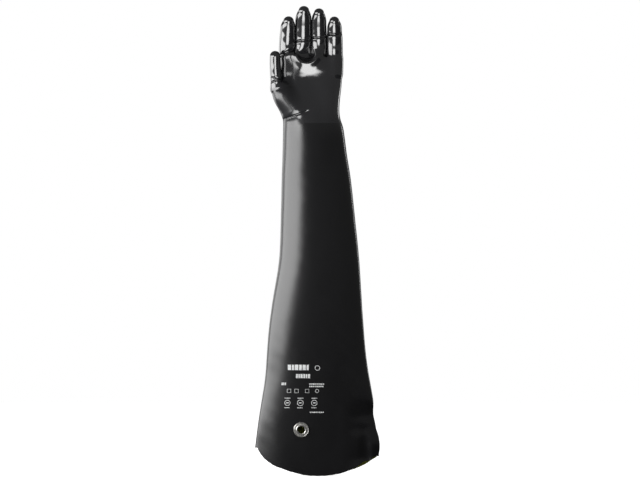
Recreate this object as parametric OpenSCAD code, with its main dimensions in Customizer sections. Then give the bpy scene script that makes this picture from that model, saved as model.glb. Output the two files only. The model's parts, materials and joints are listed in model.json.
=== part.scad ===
// Shoulder-length neoprene glove for a left hand.
// The glove stands on its cuff with the fingers up (+Z), the palm facing -Y and the thumb on the -X side.
// The origin is on the floor under the middle of the glove's box.
// The skin is a rubber coat over a knit liner. Where it flexes, it is split into rigid lengths that hinge
// on each other, and a thin fold fills each gap at rest.

/* [Overall] */
// Length from the cuff edge to the middle fingertip
glove_len = 787; // [740:1:840]
// Width across the cuff opening
cuff_w = 209; // [190:1:216]
// Front-to-back depth of the forearm
sleeve_d = 62; // [58:1:68]
// Front-to-back depth at the cuff edge, where the sleeve lies flatter
cuff_d = 36; // [30:1:50]
// Width across the wrist
wrist_w = 96; // [92:1:100]
// How far the cuff edge rises from its middle to its sides
cuff_rise = 52; // [30:1:60]

/* [Skin] */
// Thickness of the rubber coat
coat_t = 1.1; // [0.8:0.1:1.4]
// Thickness of the knit liner
liner_t = 0.8; // [0.5:0.1:1.2]

/* [Eyelet] */
// Bore diameter of the eyelet
eyelet_bore_d = 12.7; // [10:0.1:13]
// Outer diameter of its flange and washer
eyelet_flange_d = 25.4; // [22:0.1:27]
// Height of the eyelet's centre above the cuff edge
eyelet_z = 78; // [70:1:100]
// Sideways place of the eyelet's centre
eyelet_x = -23; // [-40:1:40]

/* [Flex limits] */
// Elbow bend towards the palm side
elbow_bend = 90; // [30:1:95]
// Elbow bend backwards
elbow_back = 5; // [1:1:8]
// Wrist tilt to the thumb side
wrist_tilt_in = 18; // [5:1:20]
// Wrist tilt to the little finger side
wrist_tilt_out = 25; // [5:1:28]
// Wrist bend towards the palm
wrist_bend = 50; // [20:1:55]
// Wrist bend towards the back of the hand
wrist_back = 40; // [20:1:45]
// Knuckle bend, from the relaxed curl
knuckle_bend = 50; // [30:1:55]
// Knuckle bend backwards, from the relaxed curl
knuckle_back = 15; // [5:1:18]
// Middle finger-joint bend, from the relaxed curl
middle_bend = 60; // [30:1:65]
// Middle finger-joint straightening, from the relaxed curl
middle_back = 15; // [5:1:18]
// Fingertip bend, from the relaxed curl
tip_bend = 36; // [20:1:40]
// Fingertip straightening, from the relaxed curl
tip_back = 9; // [5:1:12]
// Thumb spread away from the hand
thumb_spread = 25; // [10:1:26]
// Thumb knuckle bend
thumb_knuckle_bend = 45; // [20:1:50]
// Thumb knuckle bend backwards
thumb_knuckle_back = 10; // [3:1:12]
// Thumb tip bend
thumb_tip_bend = 50; // [20:1:55]
// Thumb tip bend backwards
thumb_tip_back = 12; // [3:1:14]

/* [Hidden] */

rubber = "#1c1c1e";
knit = "#c9cc52";
nickel = "#c8c8c4";

gap = 0.25;         // half the clearance between neighbours at a joint
bond = 0.05;        // gap between coat and liner
far = 900;          // longer than anything a cut has to pass through
palm_reach = 100;   // wider than the palm and deeper than a hand's cut goes
cuff_x = 3.5;       // sideways middle of the cuff, from the elbow's middle
wrist_shift = 9.4;  // how far the wrist's middle lies to the thumb side of the cuff's
origin = [cuff_x, -7.45, 0];   // the frame's origin, from the elbow's middle on the floor
flare = 1.11;       // widens the sleeve so that it is cuff_w wide where the arched cuff edge meets its sides
window_gap = 0.6;   // clearance around the thumb in the palm's window
ring_sides = 40;    // sides of a sleeve or palm section
wrist_z = glove_len - 187;
elbow_z = wrist_z * 0.55;
tilt_z = wrist_z - 30;
bend_z = wrist_z + 14;

coat = [0, coat_t];
liner = [coat_t + bond, coat_t + bond + liner_t];
fold_layer = [coat_t * 0.15, coat_t];   // a fold lies a little below the surface beside it

// Palm sections: [height over the wrist, middle x, middle y, half width, half depth]
palm_sections = [
    [0, -5.9, 0, wrist_w / 2, sleeve_d / 2 - 1.5],
    [12, -7.8, 0, wrist_w / 2 + 1, sleeve_d / 2 - 3],
    [22, -10.8, 0, 51.2, 26.5],
    [40, -10.5, 0, 53, 24.5],
    [60, -8.3, 0, 53.2, 20.5],
    [80, -7.6, -1.5, 52.4, 16],
    [118, -7.6, -4.5, 51.4, 12.5]
];

// The middles of a finger's joints and tip over the wrist, from its knuckle, its sideways lean, and the
// length of each bone and how far it leans to the palm side
function chain(knuckle, lean, lengths, angles) = let (
    forward = [for (k = [0:2]) lengths[k] * sin(angles[k])],
    up = [for (k = [0:2]) lengths[k] * cos(angles[k])]
) [
    knuckle,
    knuckle + [lean * 0.45, -forward[0], up[0]],
    knuckle + [lean * 0.75, -forward[0] - forward[1], up[0] + up[1]],
    knuckle + [lean, -forward[0] - forward[1] - forward[2], up[0] + up[1] + up[2]]
];
index_joints = chain([-47.2, -5, 110], 2.8, [22, 20, 13.5], [12, 24, 34]);
middle_joints = chain([-22.4, -5, 106.8], 4, [30, 29, 19], [10, 27, 38]);
ring_joints = chain([4, -5, 105.5], 4.2, [29.5, 28, 18], [10, 27, 38]);
little_joints = chain([31.6, -4.5, 107], 1.2, [23, 21.5, 14.5], [11, 25, 35]);
thumb_joints = [[-44, -2, 22], [-63.5, -10, 50], [-64.8, -13, 64], [-66.6, -18.5, 88], [-66.8, -23.5, 103.5]];

// Outer radius at each of those points
index_r = [11.5, 11.3, 10.5, 9.4];
middle_r = [12, 11.8, 11, 9.8];
ring_r = [11.5, 11.3, 10.5, 9.4];
little_r = [11.3, 11, 10.2, 9];
thumb_r = [15, 12.2, 11.5, 9.6, 9.3];

// Sideways places of the webs between the fingers, and of the palm's free sides
web_x = [-palm_reach, -34.9, -8.6, 17.9, palm_reach];

elbow_limits = [elbow_bend, elbow_back];
tilt_limits = [wrist_tilt_in, wrist_tilt_out];
bend_limits = [wrist_bend, wrist_back];
finger_limits = [[knuckle_bend, knuckle_back], [middle_bend, middle_back], [tip_bend, tip_back]];
thumb_limits = [
    [],
    [thumb_spread, 1],
    [thumb_knuckle_bend, thumb_knuckle_back],
    [thumb_tip_bend, thumb_tip_back]
];

// A digit is its joints, its radii and its joints' limits
index_finger = [index_joints, index_r, finger_limits];
middle_finger = [middle_joints, middle_r, finger_limits];
ring_finger = [ring_joints, ring_r, finger_limits];
little_finger = [little_joints, little_r, finger_limits];
thumb = [thumb_joints, thumb_r, thumb_limits];

function lift(p) = p + [0, 0, wrist_z];
module placed() translate(-origin) children();

// Middle x, middle y, half width and half depth of the sleeve or palm at height z
function along(z) = z / wrist_z;
function section(z) = z < wrist_z
    ? [cuff_x - wrist_shift * pow(along(z), 8),
       0,
       wrist_w / 2 + (cuff_w - wrist_w) / 2 * flare * pow(1 - along(z), 1.25),
       sleeve_d / 2 - 1.5 * pow(along(z), 4) - (sleeve_d - cuff_d) / 2 * pow(1 - along(z), 2)]
    : [for (k = [1:4]) lookup(z - wrist_z, [for (s = palm_sections) [s[0], s[k]]])];

// One section outline, moved in by inset
function outline(z, inset) = let (s = section(z))
    [for (i = [0:ring_sides - 1]) let (t = 360 * i / ring_sides)
        [s[0] + (s[2] - inset) * cos(t), s[1] + (s[3] - inset) * sin(t), z]];

// A closed solid through the sections at the given heights
module loft(heights, inset) {
    n = ring_sides;
    last = len(heights) - 1;
    polyhedron(
        points = [for (z = heights) each outline(z, inset)],
        faces = concat(
            [[for (i = [0:n - 1]) i]],
            [[for (i = [n - 1:-1:0]) last * n + i]],
            [for (k = [0:last - 1], i = [0:n - 1])
                [k * n + i, (k + 1) * n + i, (k + 1) * n + (i + 1) % n]],
            [for (k = [0:last - 1], i = [0:n - 1])
                [k * n + i, (k + 1) * n + (i + 1) % n, k * n + (i + 1) % n]]
        )
    );
}

module tube(heights, layer) {
    difference() {
        loft(heights, layer[0]);
        loft_through(heights, layer[1]);
    }
}

// The same loft made a little longer at both ends, for cutting
module loft_through(heights, inset) {
    last = len(heights) - 1;
    loft([heights[0] - 1, for (z = heights) z, heights[last] + 1], inset);
}

// A pie slice through the joint at p. Angles run from +Z towards -Y, or towards -X for side joints.
module pie(p, from, to, side = false) {
    steps = 6;
    corner = side ? [p[0], p[2]] : [p[1], p[2]];
    rotate(side ? [90, 0, 0] : [90, 0, 90])
        linear_extrude(far, center = true)
            polygon([corner, for (i = [0:steps]) let (a = from + (to - from) * i / steps)
                corner + far * [-sin(a), cos(a)]]);
}

function raise(p, a, by, side) = p + by * (side ? [-sin(a), 0, cos(a)] : [0, -sin(a), cos(a)]);

// The child's side, the parent's side and the fold's gaps of a joint whose middle direction is a
module child_side(p, a, limits, side = false)
    pie(raise(p, a, gap, side), a - 90 + limits[1] / 2, a + 90 - limits[0] / 2, side);
module parent_side(p, a, limits, side = false)
    pie(raise(p, a, -gap, side), a + 90 + limits[0] / 2, a + 270 - limits[1] / 2, side);
module fold_gaps(p, a, limits, side = false) {
    pie(p, a + 90 - limits[0] / 2, a + 90 + limits[0] / 2, side);
    pie(p, a - 90 - limits[1] / 2, a - 90 + limits[1] / 2, side);
}

// ---- sleeve, wrist and palm ----

upper_heights = [0, for (i = [1:7]) i * (elbow_z + 40) / 7];
forearm_heights = [for (i = [0:6]) elbow_z - 40 + i * (tilt_z + 60 - elbow_z) / 6];
band_heights = [for (z = [tilt_z - 24:12:bend_z + 24]) z];
palm_heights = [for (s = palm_sections) if (s[0] > 0) wrist_z + s[0]];
elbow_p = [0, 0, elbow_z];
tilt_p = [section(tilt_z)[0], 0, tilt_z];
bend_p = [0, 0, bend_z];

// Everything below the arched cuff edge
module below_cuff_edge() {
    half = cuff_w / 2;
    mid = section(0)[0];
    rotate([90, 0, 0])
        linear_extrude(far, center = true)
            polygon([
                [mid - far, -far],
                [mid - far, cuff_rise],
                for (a = [180:7.5:360]) [mid + half * cos(a), cuff_rise * (1 + sin(a))],
                [mid + far, cuff_rise],
                [mid + far, -far]
            ]);
}

// The sleeve's front at x and z, and how it slopes there
function front_y(x, z) = let (s = section(z)) s[1] - s[3] * sqrt(1 - pow((x - s[0]) / s[2], 2));
function eyelet_turn() = atan((front_y(eyelet_x + 1, eyelet_z) - front_y(eyelet_x - 1, eyelet_z)) / 2);
function eyelet_tip() = atan((front_y(eyelet_x, eyelet_z + 1) - front_y(eyelet_x, eyelet_z - 1)) / 2);

// Places a child with its +Z pointing out of the sleeve at the eyelet, from the outer surface
module at_eyelet()
    translate([eyelet_x, front_y(eyelet_x, eyelet_z), eyelet_z])
        rotate([0, 0, eyelet_turn()])
            rotate([90 - eyelet_tip(), 0, 0])
                children();

module upper_tube(layer) {
    difference() {
        intersection() {
            tube(upper_heights, layer);
            parent_side(elbow_p, 0, elbow_limits);
        }
        below_cuff_edge();
        at_eyelet() cylinder(h = hole_reach, r = barrel_r + 0.4, center = true, $fn = 32);
    }
}

module forearm_tube(layer) {
    intersection() {
        tube(forearm_heights, layer);
        child_side(elbow_p, 0, elbow_limits);
        parent_side(tilt_p, 0, tilt_limits, side = true);
    }
}

module wrist_ring(layer) {
    intersection() {
        tube(band_heights, layer);
        child_side(tilt_p, 0, tilt_limits, side = true);
        parent_side(bend_p, 0, bend_limits);
    }
}

module sleeve_fold(heights, p, limits, side = false) {
    intersection() {
        tube(heights, fold_layer);
        fold_gaps(p, 0, limits, side);
    }
}

// The palm is open at the top, where the fingers root, and has a window for the thumb's root
module palm_shell(layer) {
    difference() {
        intersection() {
            tube(palm_heights, layer);
            child_side(bend_p, 0, bend_limits);
        }
        finger_clearance(index_finger, 0);
        finger_clearance(middle_finger, 1);
        finger_clearance(ring_finger, 2);
        finger_clearance(little_finger, 3);
        thumb_window();
    }
}

// What the palm leaves free above one knuckle, between its two webs and a little past them
module finger_clearance(digit, i) {
    p = lift(digit[0][0]);
    low = [web_x[i] - bond, -palm_reach / 2, p[2] - 40];
    difference() {
        translate(low) cube([web_x[i + 1] + bond - low[0], palm_reach, palm_reach]);
        parent_side(p, joint_heading(digit, 0), digit[2][0]);
    }
}

// The thumb side of the palm's wall, left out around the thumb's root and where the thumb sweeps
module thumb_window() {
    root = lift(thumb[0][0]);
    spread = lift(thumb[0][1]);
    knuckle = lift(thumb[0][2]);
    tip_joint = lift(thumb[0][3]);
    back = root[1] + thumb[1][0] + window_gap;
    top = tip_joint[2] - 2;
    translate([0, back, 0])
        rotate([90, 0, 0])
            linear_extrude(far)
                polygon([
                    [root[0] + 5, bend_z],
                    [root[0] + 5, root[2] + 4],
                    [spread[0] + thumb[1][1] + 3, spread[2] + 5],
                    [knuckle[0] + thumb[1][2] + 1.5, knuckle[2] + 8],
                    [tip_joint[0] + thumb[1][3] + 1, top],
                    [-far, top],
                    [-far, bend_z]
                ]);
}

// ---- fingers and thumb ----

// Moves a child standing on +Z from point a towards point b
module aim(a, b) {
    d = b - a;
    translate(a)
        rotate([0, acos(d[2] / norm(d)), atan2(d[1], d[0])])
            children();
}

// Length k of a digit with round ends, moved in by inset
module segment(digit, k, inset) {
    a = lift(digit[0][k]);
    b = lift(digit[0][k + 1]);
    r1 = digit[1][k] - inset;
    r2 = digit[1][k + 1] - inset;
    aim(a, b)
        rotate_extrude($fn = 48)
            polygon(concat(
                [for (t = [-90:15:0]) r1 * [cos(t), sin(t)]],
                [for (t = [0:15:90]) [r2 * cos(t), norm(b - a) + r2 * sin(t)]]
            ));
}

module segment_shell(digit, k, layer) {
    difference() {
        segment(digit, k, layer[0]);
        segment(digit, k, layer[1]);
    }
}

// Direction of a length in the bending plane, and the mean direction at a joint
function heading(digit, k) = let (d = digit[0][k + 1] - digit[0][k]) atan2(-d[1], d[2]);
function joint_heading(digit, k) = k == 0
    ? heading(digit, 0) / 2
    : (heading(digit, k - 1) + heading(digit, k)) / 2;

// Rigid length k of a digit
module finger_length(digit, k, layer) {
    has_next = k + 1 < len(digit[2]);
    intersection() {
        segment_shell(digit, k, layer);
        child_side(lift(digit[0][k]), joint_heading(digit, k), digit[2][k]);
        if (has_next) parent_side(lift(digit[0][k + 1]), joint_heading(digit, k + 1), digit[2][k + 1]);
    }
}

module ball_fold(digit, k) {
    intersection() {
        translate(lift(digit[0][k]))
            difference() {
                sphere(digit[1][k] - fold_layer[0], $fn = 48);
                sphere(digit[1][k] - fold_layer[1], $fn = 48);
            }
        children();
    }
}

module finger_fold(digit, k)
    ball_fold(digit, k)
        fold_gaps(lift(digit[0][k]), joint_heading(digit, k), digit[2][k]);

// The thumb spreads sideways at its second joint, so this is that joint's mean direction towards -X
function spread_heading() = let (
    low = thumb[0][1] - thumb[0][0],
    high = thumb[0][2] - thumb[0][1]
) (atan2(-low[0], low[2]) + atan2(-high[0], high[2])) / 2;

// The thumb's root is part of the palm. It starts inside the palm and is open there.
module thumb_root_shell(layer) {
    intersection() {
        segment_shell(thumb, 0, layer);
        aim(lift(thumb[0][0]), lift(thumb[0][1]))
            translate([-palm_reach / 2, -palm_reach / 2, 2]) cube(palm_reach);
        child_side(bend_p, 0, bend_limits);
        parent_side(lift(thumb[0][1]), spread_heading(), thumb[2][1], side = true);
    }
}

module thumb_base_shell(layer) {
    intersection() {
        segment_shell(thumb, 1, layer);
        child_side(lift(thumb[0][1]), spread_heading(), thumb[2][1], side = true);
        parent_side(lift(thumb[0][2]), joint_heading(thumb, 2), thumb[2][2]);
    }
}

// ---- eyelet ----

sheet = 0.8;                                     // metal thickness
grip = coat_t + bond + liner_t + 0.5;            // space between flange and washer
barrel_r = eyelet_bore_d / 2 + sheet;
curl_r = 1.1;                                    // round of the barrel's rolled lip
washer_low = 0.15;                               // how far the washer stands off the sleeve's middle line
hole_reach = 20;                                 // cuts through the front wall only

module barrel_shape() {
    difference() {
        union() {
            translate([0, 0, washer_low - grip - sheet]) cylinder(h = sheet, d = eyelet_flange_d);
            translate([0, 0, washer_low - grip - sheet])
                cylinder(h = grip + sheet * 2 + curl_r * 1.1, r = barrel_r);
            translate([0, 0, washer_low + sheet + bond + curl_r])
                rotate_extrude() translate([barrel_r + curl_r * 0.45, 0]) circle(curl_r, $fn = 32);
        }
        cylinder(h = hole_reach, d = eyelet_bore_d, center = true);
    }
}

module washer_shape() {
    rim_r = sheet * 0.75;
    translate([0, 0, washer_low])
        difference() {
            union() {
                cylinder(h = sheet, d = eyelet_flange_d - rim_r * 2);
                translate([0, 0, rim_r])
                    rotate_extrude() translate([eyelet_flange_d / 2 - rim_r, 0]) circle(rim_r, $fn = 32);
            }
            cylinder(h = hole_reach, r = barrel_r + bond, center = true);
        }
}

// ---- one module per node ----

module upper_sleeve() {
    color(rubber) placed() upper_tube(coat);
}
module upper_sleeve_liner() {
    color(knit) placed() upper_tube(liner);
}
module forearm_sleeve() {
    color(rubber) placed() forearm_tube(coat);
}
module forearm_liner() {
    color(knit) placed() forearm_tube(liner);
}
module elbow_fold() {
    color(rubber) placed() sleeve_fold(forearm_heights, elbow_p, elbow_limits);
}
module wrist_band() {
    color(rubber) placed() wrist_ring(coat);
}
module wrist_band_liner() {
    color(knit) placed() wrist_ring(liner);
}
module wrist_side_fold() {
    color(rubber) placed() sleeve_fold(band_heights, tilt_p, tilt_limits, side = true);
}
module wrist_bend_fold() {
    color(rubber) placed() sleeve_fold(band_heights, bend_p, bend_limits);
}
module palm() {
    color(rubber) placed() palm_shell(coat);
}
module palm_liner() {
    color(knit) placed() palm_shell(liner);
}
module thumb_root() {
    color(rubber) placed() thumb_root_shell(coat);
}
module thumb_root_liner() {
    color(knit) placed() thumb_root_shell(liner);
}
module thumb_base() {
    color(rubber) placed() thumb_base_shell(coat);
}
module thumb_base_liner() {
    color(knit) placed() thumb_base_shell(liner);
}
module thumb_middle() {
    color(rubber) placed() finger_length(thumb, 2, coat);
}
module thumb_middle_liner() {
    color(knit) placed() finger_length(thumb, 2, liner);
}
module thumb_tip() {
    color(rubber) placed() finger_length(thumb, 3, coat);
}
module thumb_tip_liner() {
    color(knit) placed() finger_length(thumb, 3, liner);
}
module thumb_spread_fold() {
    color(rubber) placed() ball_fold(thumb, 1)
        fold_gaps(lift(thumb[0][1]), spread_heading(), thumb[2][1], side = true);
}
module thumb_knuckle_fold() {
    color(rubber) placed() finger_fold(thumb, 2);
}
module thumb_tip_fold() {
    color(rubber) placed() finger_fold(thumb, 3);
}
module index_base() {
    color(rubber) placed() finger_length(index_finger, 0, coat);
}
module index_base_liner() {
    color(knit) placed() finger_length(index_finger, 0, liner);
}
module index_middle() {
    color(rubber) placed() finger_length(index_finger, 1, coat);
}
module index_middle_liner() {
    color(knit) placed() finger_length(index_finger, 1, liner);
}
module index_tip() {
    color(rubber) placed() finger_length(index_finger, 2, coat);
}
module index_tip_liner() {
    color(knit) placed() finger_length(index_finger, 2, liner);
}
module index_knuckle_fold() {
    color(rubber) placed() finger_fold(index_finger, 0);
}
module index_middle_fold() {
    color(rubber) placed() finger_fold(index_finger, 1);
}
module index_tip_fold() {
    color(rubber) placed() finger_fold(index_finger, 2);
}
module middle_base() {
    color(rubber) placed() finger_length(middle_finger, 0, coat);
}
module middle_base_liner() {
    color(knit) placed() finger_length(middle_finger, 0, liner);
}
module middle_middle() {
    color(rubber) placed() finger_length(middle_finger, 1, coat);
}
module middle_middle_liner() {
    color(knit) placed() finger_length(middle_finger, 1, liner);
}
module middle_tip() {
    color(rubber) placed() finger_length(middle_finger, 2, coat);
}
module middle_tip_liner() {
    color(knit) placed() finger_length(middle_finger, 2, liner);
}
module middle_knuckle_fold() {
    color(rubber) placed() finger_fold(middle_finger, 0);
}
module middle_middle_fold() {
    color(rubber) placed() finger_fold(middle_finger, 1);
}
module middle_tip_fold() {
    color(rubber) placed() finger_fold(middle_finger, 2);
}
module ring_base() {
    color(rubber) placed() finger_length(ring_finger, 0, coat);
}
module ring_base_liner() {
    color(knit) placed() finger_length(ring_finger, 0, liner);
}
module ring_middle() {
    color(rubber) placed() finger_length(ring_finger, 1, coat);
}
module ring_middle_liner() {
    color(knit) placed() finger_length(ring_finger, 1, liner);
}
module ring_tip() {
    color(rubber) placed() finger_length(ring_finger, 2, coat);
}
module ring_tip_liner() {
    color(knit) placed() finger_length(ring_finger, 2, liner);
}
module ring_knuckle_fold() {
    color(rubber) placed() finger_fold(ring_finger, 0);
}
module ring_middle_fold() {
    color(rubber) placed() finger_fold(ring_finger, 1);
}
module ring_tip_fold() {
    color(rubber) placed() finger_fold(ring_finger, 2);
}
module little_base() {
    color(rubber) placed() finger_length(little_finger, 0, coat);
}
module little_base_liner() {
    color(knit) placed() finger_length(little_finger, 0, liner);
}
module little_middle() {
    color(rubber) placed() finger_length(little_finger, 1, coat);
}
module little_middle_liner() {
    color(knit) placed() finger_length(little_finger, 1, liner);
}
module little_tip() {
    color(rubber) placed() finger_length(little_finger, 2, coat);
}
module little_tip_liner() {
    color(knit) placed() finger_length(little_finger, 2, liner);
}
module little_knuckle_fold() {
    color(rubber) placed() finger_fold(little_finger, 0);
}
module little_middle_fold() {
    color(rubber) placed() finger_fold(little_finger, 1);
}
module little_tip_fold() {
    color(rubber) placed() finger_fold(little_finger, 2);
}
module eyelet_barrel() {
    color(nickel) placed() at_eyelet() barrel_shape();
}
module eyelet_washer() {
    color(nickel) placed() at_eyelet() washer_shape();
}

upper_sleeve();
upper_sleeve_liner();
forearm_sleeve();
forearm_liner();
elbow_fold();
wrist_band();
wrist_band_liner();
wrist_side_fold();
wrist_bend_fold();
palm();
palm_liner();
thumb_root();
thumb_root_liner();
thumb_base();
thumb_base_liner();
thumb_middle();
thumb_middle_liner();
thumb_tip();
thumb_tip_liner();
thumb_spread_fold();
thumb_knuckle_fold();
thumb_tip_fold();
index_base();
index_base_liner();
index_middle();
index_middle_liner();
index_tip();
index_tip_liner();
index_knuckle_fold();
index_middle_fold();
index_tip_fold();
middle_base();
middle_base_liner();
middle_middle();
middle_middle_liner();
middle_tip();
middle_tip_liner();
middle_knuckle_fold();
middle_middle_fold();
middle_tip_fold();
ring_base();
ring_base_liner();
ring_middle();
ring_middle_liner();
ring_tip();
ring_tip_liner();
ring_knuckle_fold();
ring_middle_fold();
ring_tip_fold();
little_base();
little_base_liner();
little_middle();
little_middle_liner();
little_tip();
little_tip_liner();
little_knuckle_fold();
little_middle_fold();
little_tip_fold();
eyelet_barrel();
eyelet_washer();
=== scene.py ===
import json
import math
import bpy
import bmesh
import numpy as np
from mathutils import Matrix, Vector

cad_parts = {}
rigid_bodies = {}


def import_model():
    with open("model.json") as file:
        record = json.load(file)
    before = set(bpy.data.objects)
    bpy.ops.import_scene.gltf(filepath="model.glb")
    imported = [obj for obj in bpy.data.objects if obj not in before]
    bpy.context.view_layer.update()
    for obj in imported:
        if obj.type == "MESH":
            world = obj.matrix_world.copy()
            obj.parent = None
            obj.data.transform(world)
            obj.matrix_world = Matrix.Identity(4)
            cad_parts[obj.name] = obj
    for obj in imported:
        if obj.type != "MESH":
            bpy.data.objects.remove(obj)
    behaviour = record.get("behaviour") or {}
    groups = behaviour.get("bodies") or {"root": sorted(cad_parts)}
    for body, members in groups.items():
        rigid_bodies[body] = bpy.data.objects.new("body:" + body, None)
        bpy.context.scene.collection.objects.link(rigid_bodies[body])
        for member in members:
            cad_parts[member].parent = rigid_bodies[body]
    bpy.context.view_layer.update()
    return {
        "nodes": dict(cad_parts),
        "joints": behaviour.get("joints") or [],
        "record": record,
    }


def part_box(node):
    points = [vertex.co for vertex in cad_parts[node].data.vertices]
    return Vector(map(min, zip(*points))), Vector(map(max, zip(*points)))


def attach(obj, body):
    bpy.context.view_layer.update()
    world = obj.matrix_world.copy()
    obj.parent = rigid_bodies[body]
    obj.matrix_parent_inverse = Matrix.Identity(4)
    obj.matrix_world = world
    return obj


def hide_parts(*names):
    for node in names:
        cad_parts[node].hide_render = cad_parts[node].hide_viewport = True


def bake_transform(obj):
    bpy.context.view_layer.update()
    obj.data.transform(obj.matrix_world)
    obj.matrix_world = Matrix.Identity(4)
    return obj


# A shoulder-length black rubber glove with a yellow-green lining, standing on its cuff with the fingers up.
# All shapes are worked out in millimetres and moved into the shared frame, in metres, when a mesh is made.

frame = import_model()
MM = 0.001

# ---------------------------------------------------------------- places read from the frame

# Shapes are worked out from home, the point on the floor under the middle of the elbow.
elbow = next(j for j in frame["joints"] if j["name"] == "elbow")
home = np.array(elbow["pos_m"]) / MM * (1, 1, 0)
joint_at = {j["name"]: np.array(j["pos_m"]) / MM - home for j in frame["joints"]}
mount = frame["record"]["mounts"][0]
eyelet_at = np.array(mount["pos_m"]) / MM - home
eyelet_axis = np.array(mount["axis"])


def box_mm(node):
    low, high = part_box(node)
    return np.array(low) / MM - home, np.array(high) / MM - home


cuff_low, cuff_high = box_mm("upper_sleeve")
wrist_low, wrist_high = box_mm("wrist_bend_fold")
elbow_z = joint_at["elbow"][2]
tilt_z = joint_at["wrist_tilt"][2]
bend_z = joint_at["wrist_bend"][2]
wrist_z = bend_z - 14
FINGERS = ("index", "middle", "ring", "little")

COAT = 1.1              # thickness of the rubber
LINER_OUT = 1.15        # the lining's outer face lies this far under the surface
LINER = 0.8             # thickness of the lining
CREASE_ROOM = 1.3       # how much deeper the lining lies in the hand, clear of the creases
BARREL_ROOM = 8.8       # radius left open in the sleeve for the eyelet's barrel
CUFF_SHIFT = 3.5        # how far the cuff's middle lies to the little-finger side of the elbow's middle
WRIST_SHIFT = 9.4       # how far the sleeve's middle moves to the thumb side from the cuff to the wrist
CUFF_RISE = 52          # how high the cuff's edge arches at the sides, before its corners are rounded
FAR = 60.0              # a distance for points that are too far from a tube to matter

# Heights where one piece of skin ends and the next begins
CUT_FOREARM = (elbow_z + tilt_z) / 2
CUT_WRIST = tilt_z + 22
CUT_FINGERS = joint_at["ring_knuckle"][2] - 1.5
CUT_THUMB = joint_at["thumb_spread"][2] - 2


# ---------------------------------------------------------------- smooth curves and joins


def smooth_table(heights, values, blur=7.0, step=0.25):
    """A smooth function through a short table: straight lines between its rows, then blurred."""
    z = np.arange(heights[0] - 60, heights[-1] + 60, step)
    v = np.interp(z, heights, values)
    reach = int(3 * blur / step)
    kernel = np.exp(-0.5 * (np.arange(-reach, reach + 1) * step / blur) ** 2)
    padded = np.concatenate([np.full(reach, v[0]), v, np.full(reach, v[-1])])
    v = np.convolve(padded, kernel / kernel.sum(), "valid")
    return lambda at: np.interp(at, z, v)


def ease(t):
    t = np.clip(t, 0, 1)
    return t * t * (3 - 2 * t)


def join(a, b, k):
    """The smaller of two distances, rounded over k millimetres where they meet."""
    h = np.clip(0.5 + 0.5 * (b - a) / k, 0, 1)
    return b + (a - b) * h - k * h * (1 - h)


def bump(u):
    return np.exp(-u * u)


def waves(p, size, seed):
    """A gentle unevenness about 1 high, made of a few sine waves that are size long."""
    total = 0
    for k in range(5):
        turn = seed * 1.7 + k * 2.399
        lean = math.sin(seed + k * 1.3)
        way = np.array([math.cos(turn), math.sin(turn), lean])
        way *= (1 + 0.23 * k) * 2 * math.pi / size / np.linalg.norm(way)
        total = total + np.sin(p @ way + seed * 3.1 + k * k)
    return total / 2.5


class Tube:
    """A round tube along a smooth curve through points, with grooves and pads across its palm side."""

    def __init__(self, points, radii, wide=1.0, grooves=(), pads=()):
        self.p = np.array(points, float)
        self.r = np.array(radii, float)
        self.wide = wide
        self.grooves = grooves
        self.pads = pads
        gaps = np.linalg.norm(np.diff(self.p, axis=0), axis=1)
        self.t = np.concatenate([[0], np.cumsum(gaps)])
        n = len(self.t)
        h = np.diff(self.t)
        a = np.zeros((n, n))
        rhs = np.zeros((n, 3))
        a[0, 0] = a[-1, -1] = 1
        for i in range(1, n - 1):
            a[i, i - 1 : i + 2] = h[i - 1], 2 * (h[i - 1] + h[i]), h[i]
            rhs[i] = 6 * ((self.p[i + 1] - self.p[i]) / h[i] - (self.p[i] - self.p[i - 1]) / h[i - 1])
        self.m = np.linalg.solve(a, rhs)

    def curve(self, t):
        i = np.clip(np.searchsorted(self.t, t, "right") - 1, 0, len(self.t) - 2)
        h = (self.t[i + 1] - self.t[i])[:, None]
        u = (self.t[i + 1] - t)[:, None]
        v = (t - self.t[i])[:, None]
        m0, m1, p0, p1 = self.m[i], self.m[i + 1], self.p[i], self.p[i + 1]
        at = m0 * u**3 / (6 * h) + m1 * v**3 / (6 * h) + (p0 / h - m0 * h / 6) * u + (p1 / h - m1 * h / 6) * v
        d1 = -m0 * u**2 / (2 * h) + m1 * v**2 / (2 * h) - (p0 / h - m0 * h / 6) + (p1 / h - m1 * h / 6)
        d2 = m0 * u / h + m1 * v / h
        last = i == len(self.t) - 2
        s = np.where(last, (v / h)[:, 0] ** 2.2, ease(v / h)[:, 0])
        radius = self.r[i] * (1 - s) + self.r[i + 1] * s
        return at, d1, d2, radius

    def distance(self, p):
        samples = np.linspace(0, self.t[-1], 20)
        dots = self.curve(samples)[0]
        best = np.full(len(p), 1e18)
        t = np.zeros(len(p))
        for s, dot in zip(samples, dots):
            d = ((p - dot) ** 2).sum(1)
            nearer = d < best
            best[nearer] = d[nearer]
            t[nearer] = s
        for _ in range(4):
            at, d1, d2, _r = self.curve(t)
            off = at - p
            bend = np.maximum((d1 * d1).sum(1) + (off * d2).sum(1), 0.3)
            t = np.clip(t - (off * d1).sum(1) / bend, 0, self.t[-1])
        at, d1, _d2, radius = self.curve(t)
        off = p - at
        off[:, 0] /= self.wide
        size = np.linalg.norm(off, axis=1)
        d = size - radius
        if self.grooves or self.pads:
            front = np.clip(-off[:, 1] / np.maximum(size, 1e-6), 0, 1)
            for s0, depth, width, slant in self.grooves:
                u = t - s0 - slant * off[:, 0] + 0.016 * off[:, 0] ** 2
                pinch = bump(u / width) - 0.22 * bump((np.abs(u) - 2.4 * width) / (1.5 * width))
                d = d + depth * pinch * ease(front * 1.25)
            for s0, height, length in self.pads:
                d = d - height * bump((t - s0) / length) * front
        return d


# ---------------------------------------------------------------- the sleeve and the palm as one form

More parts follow.
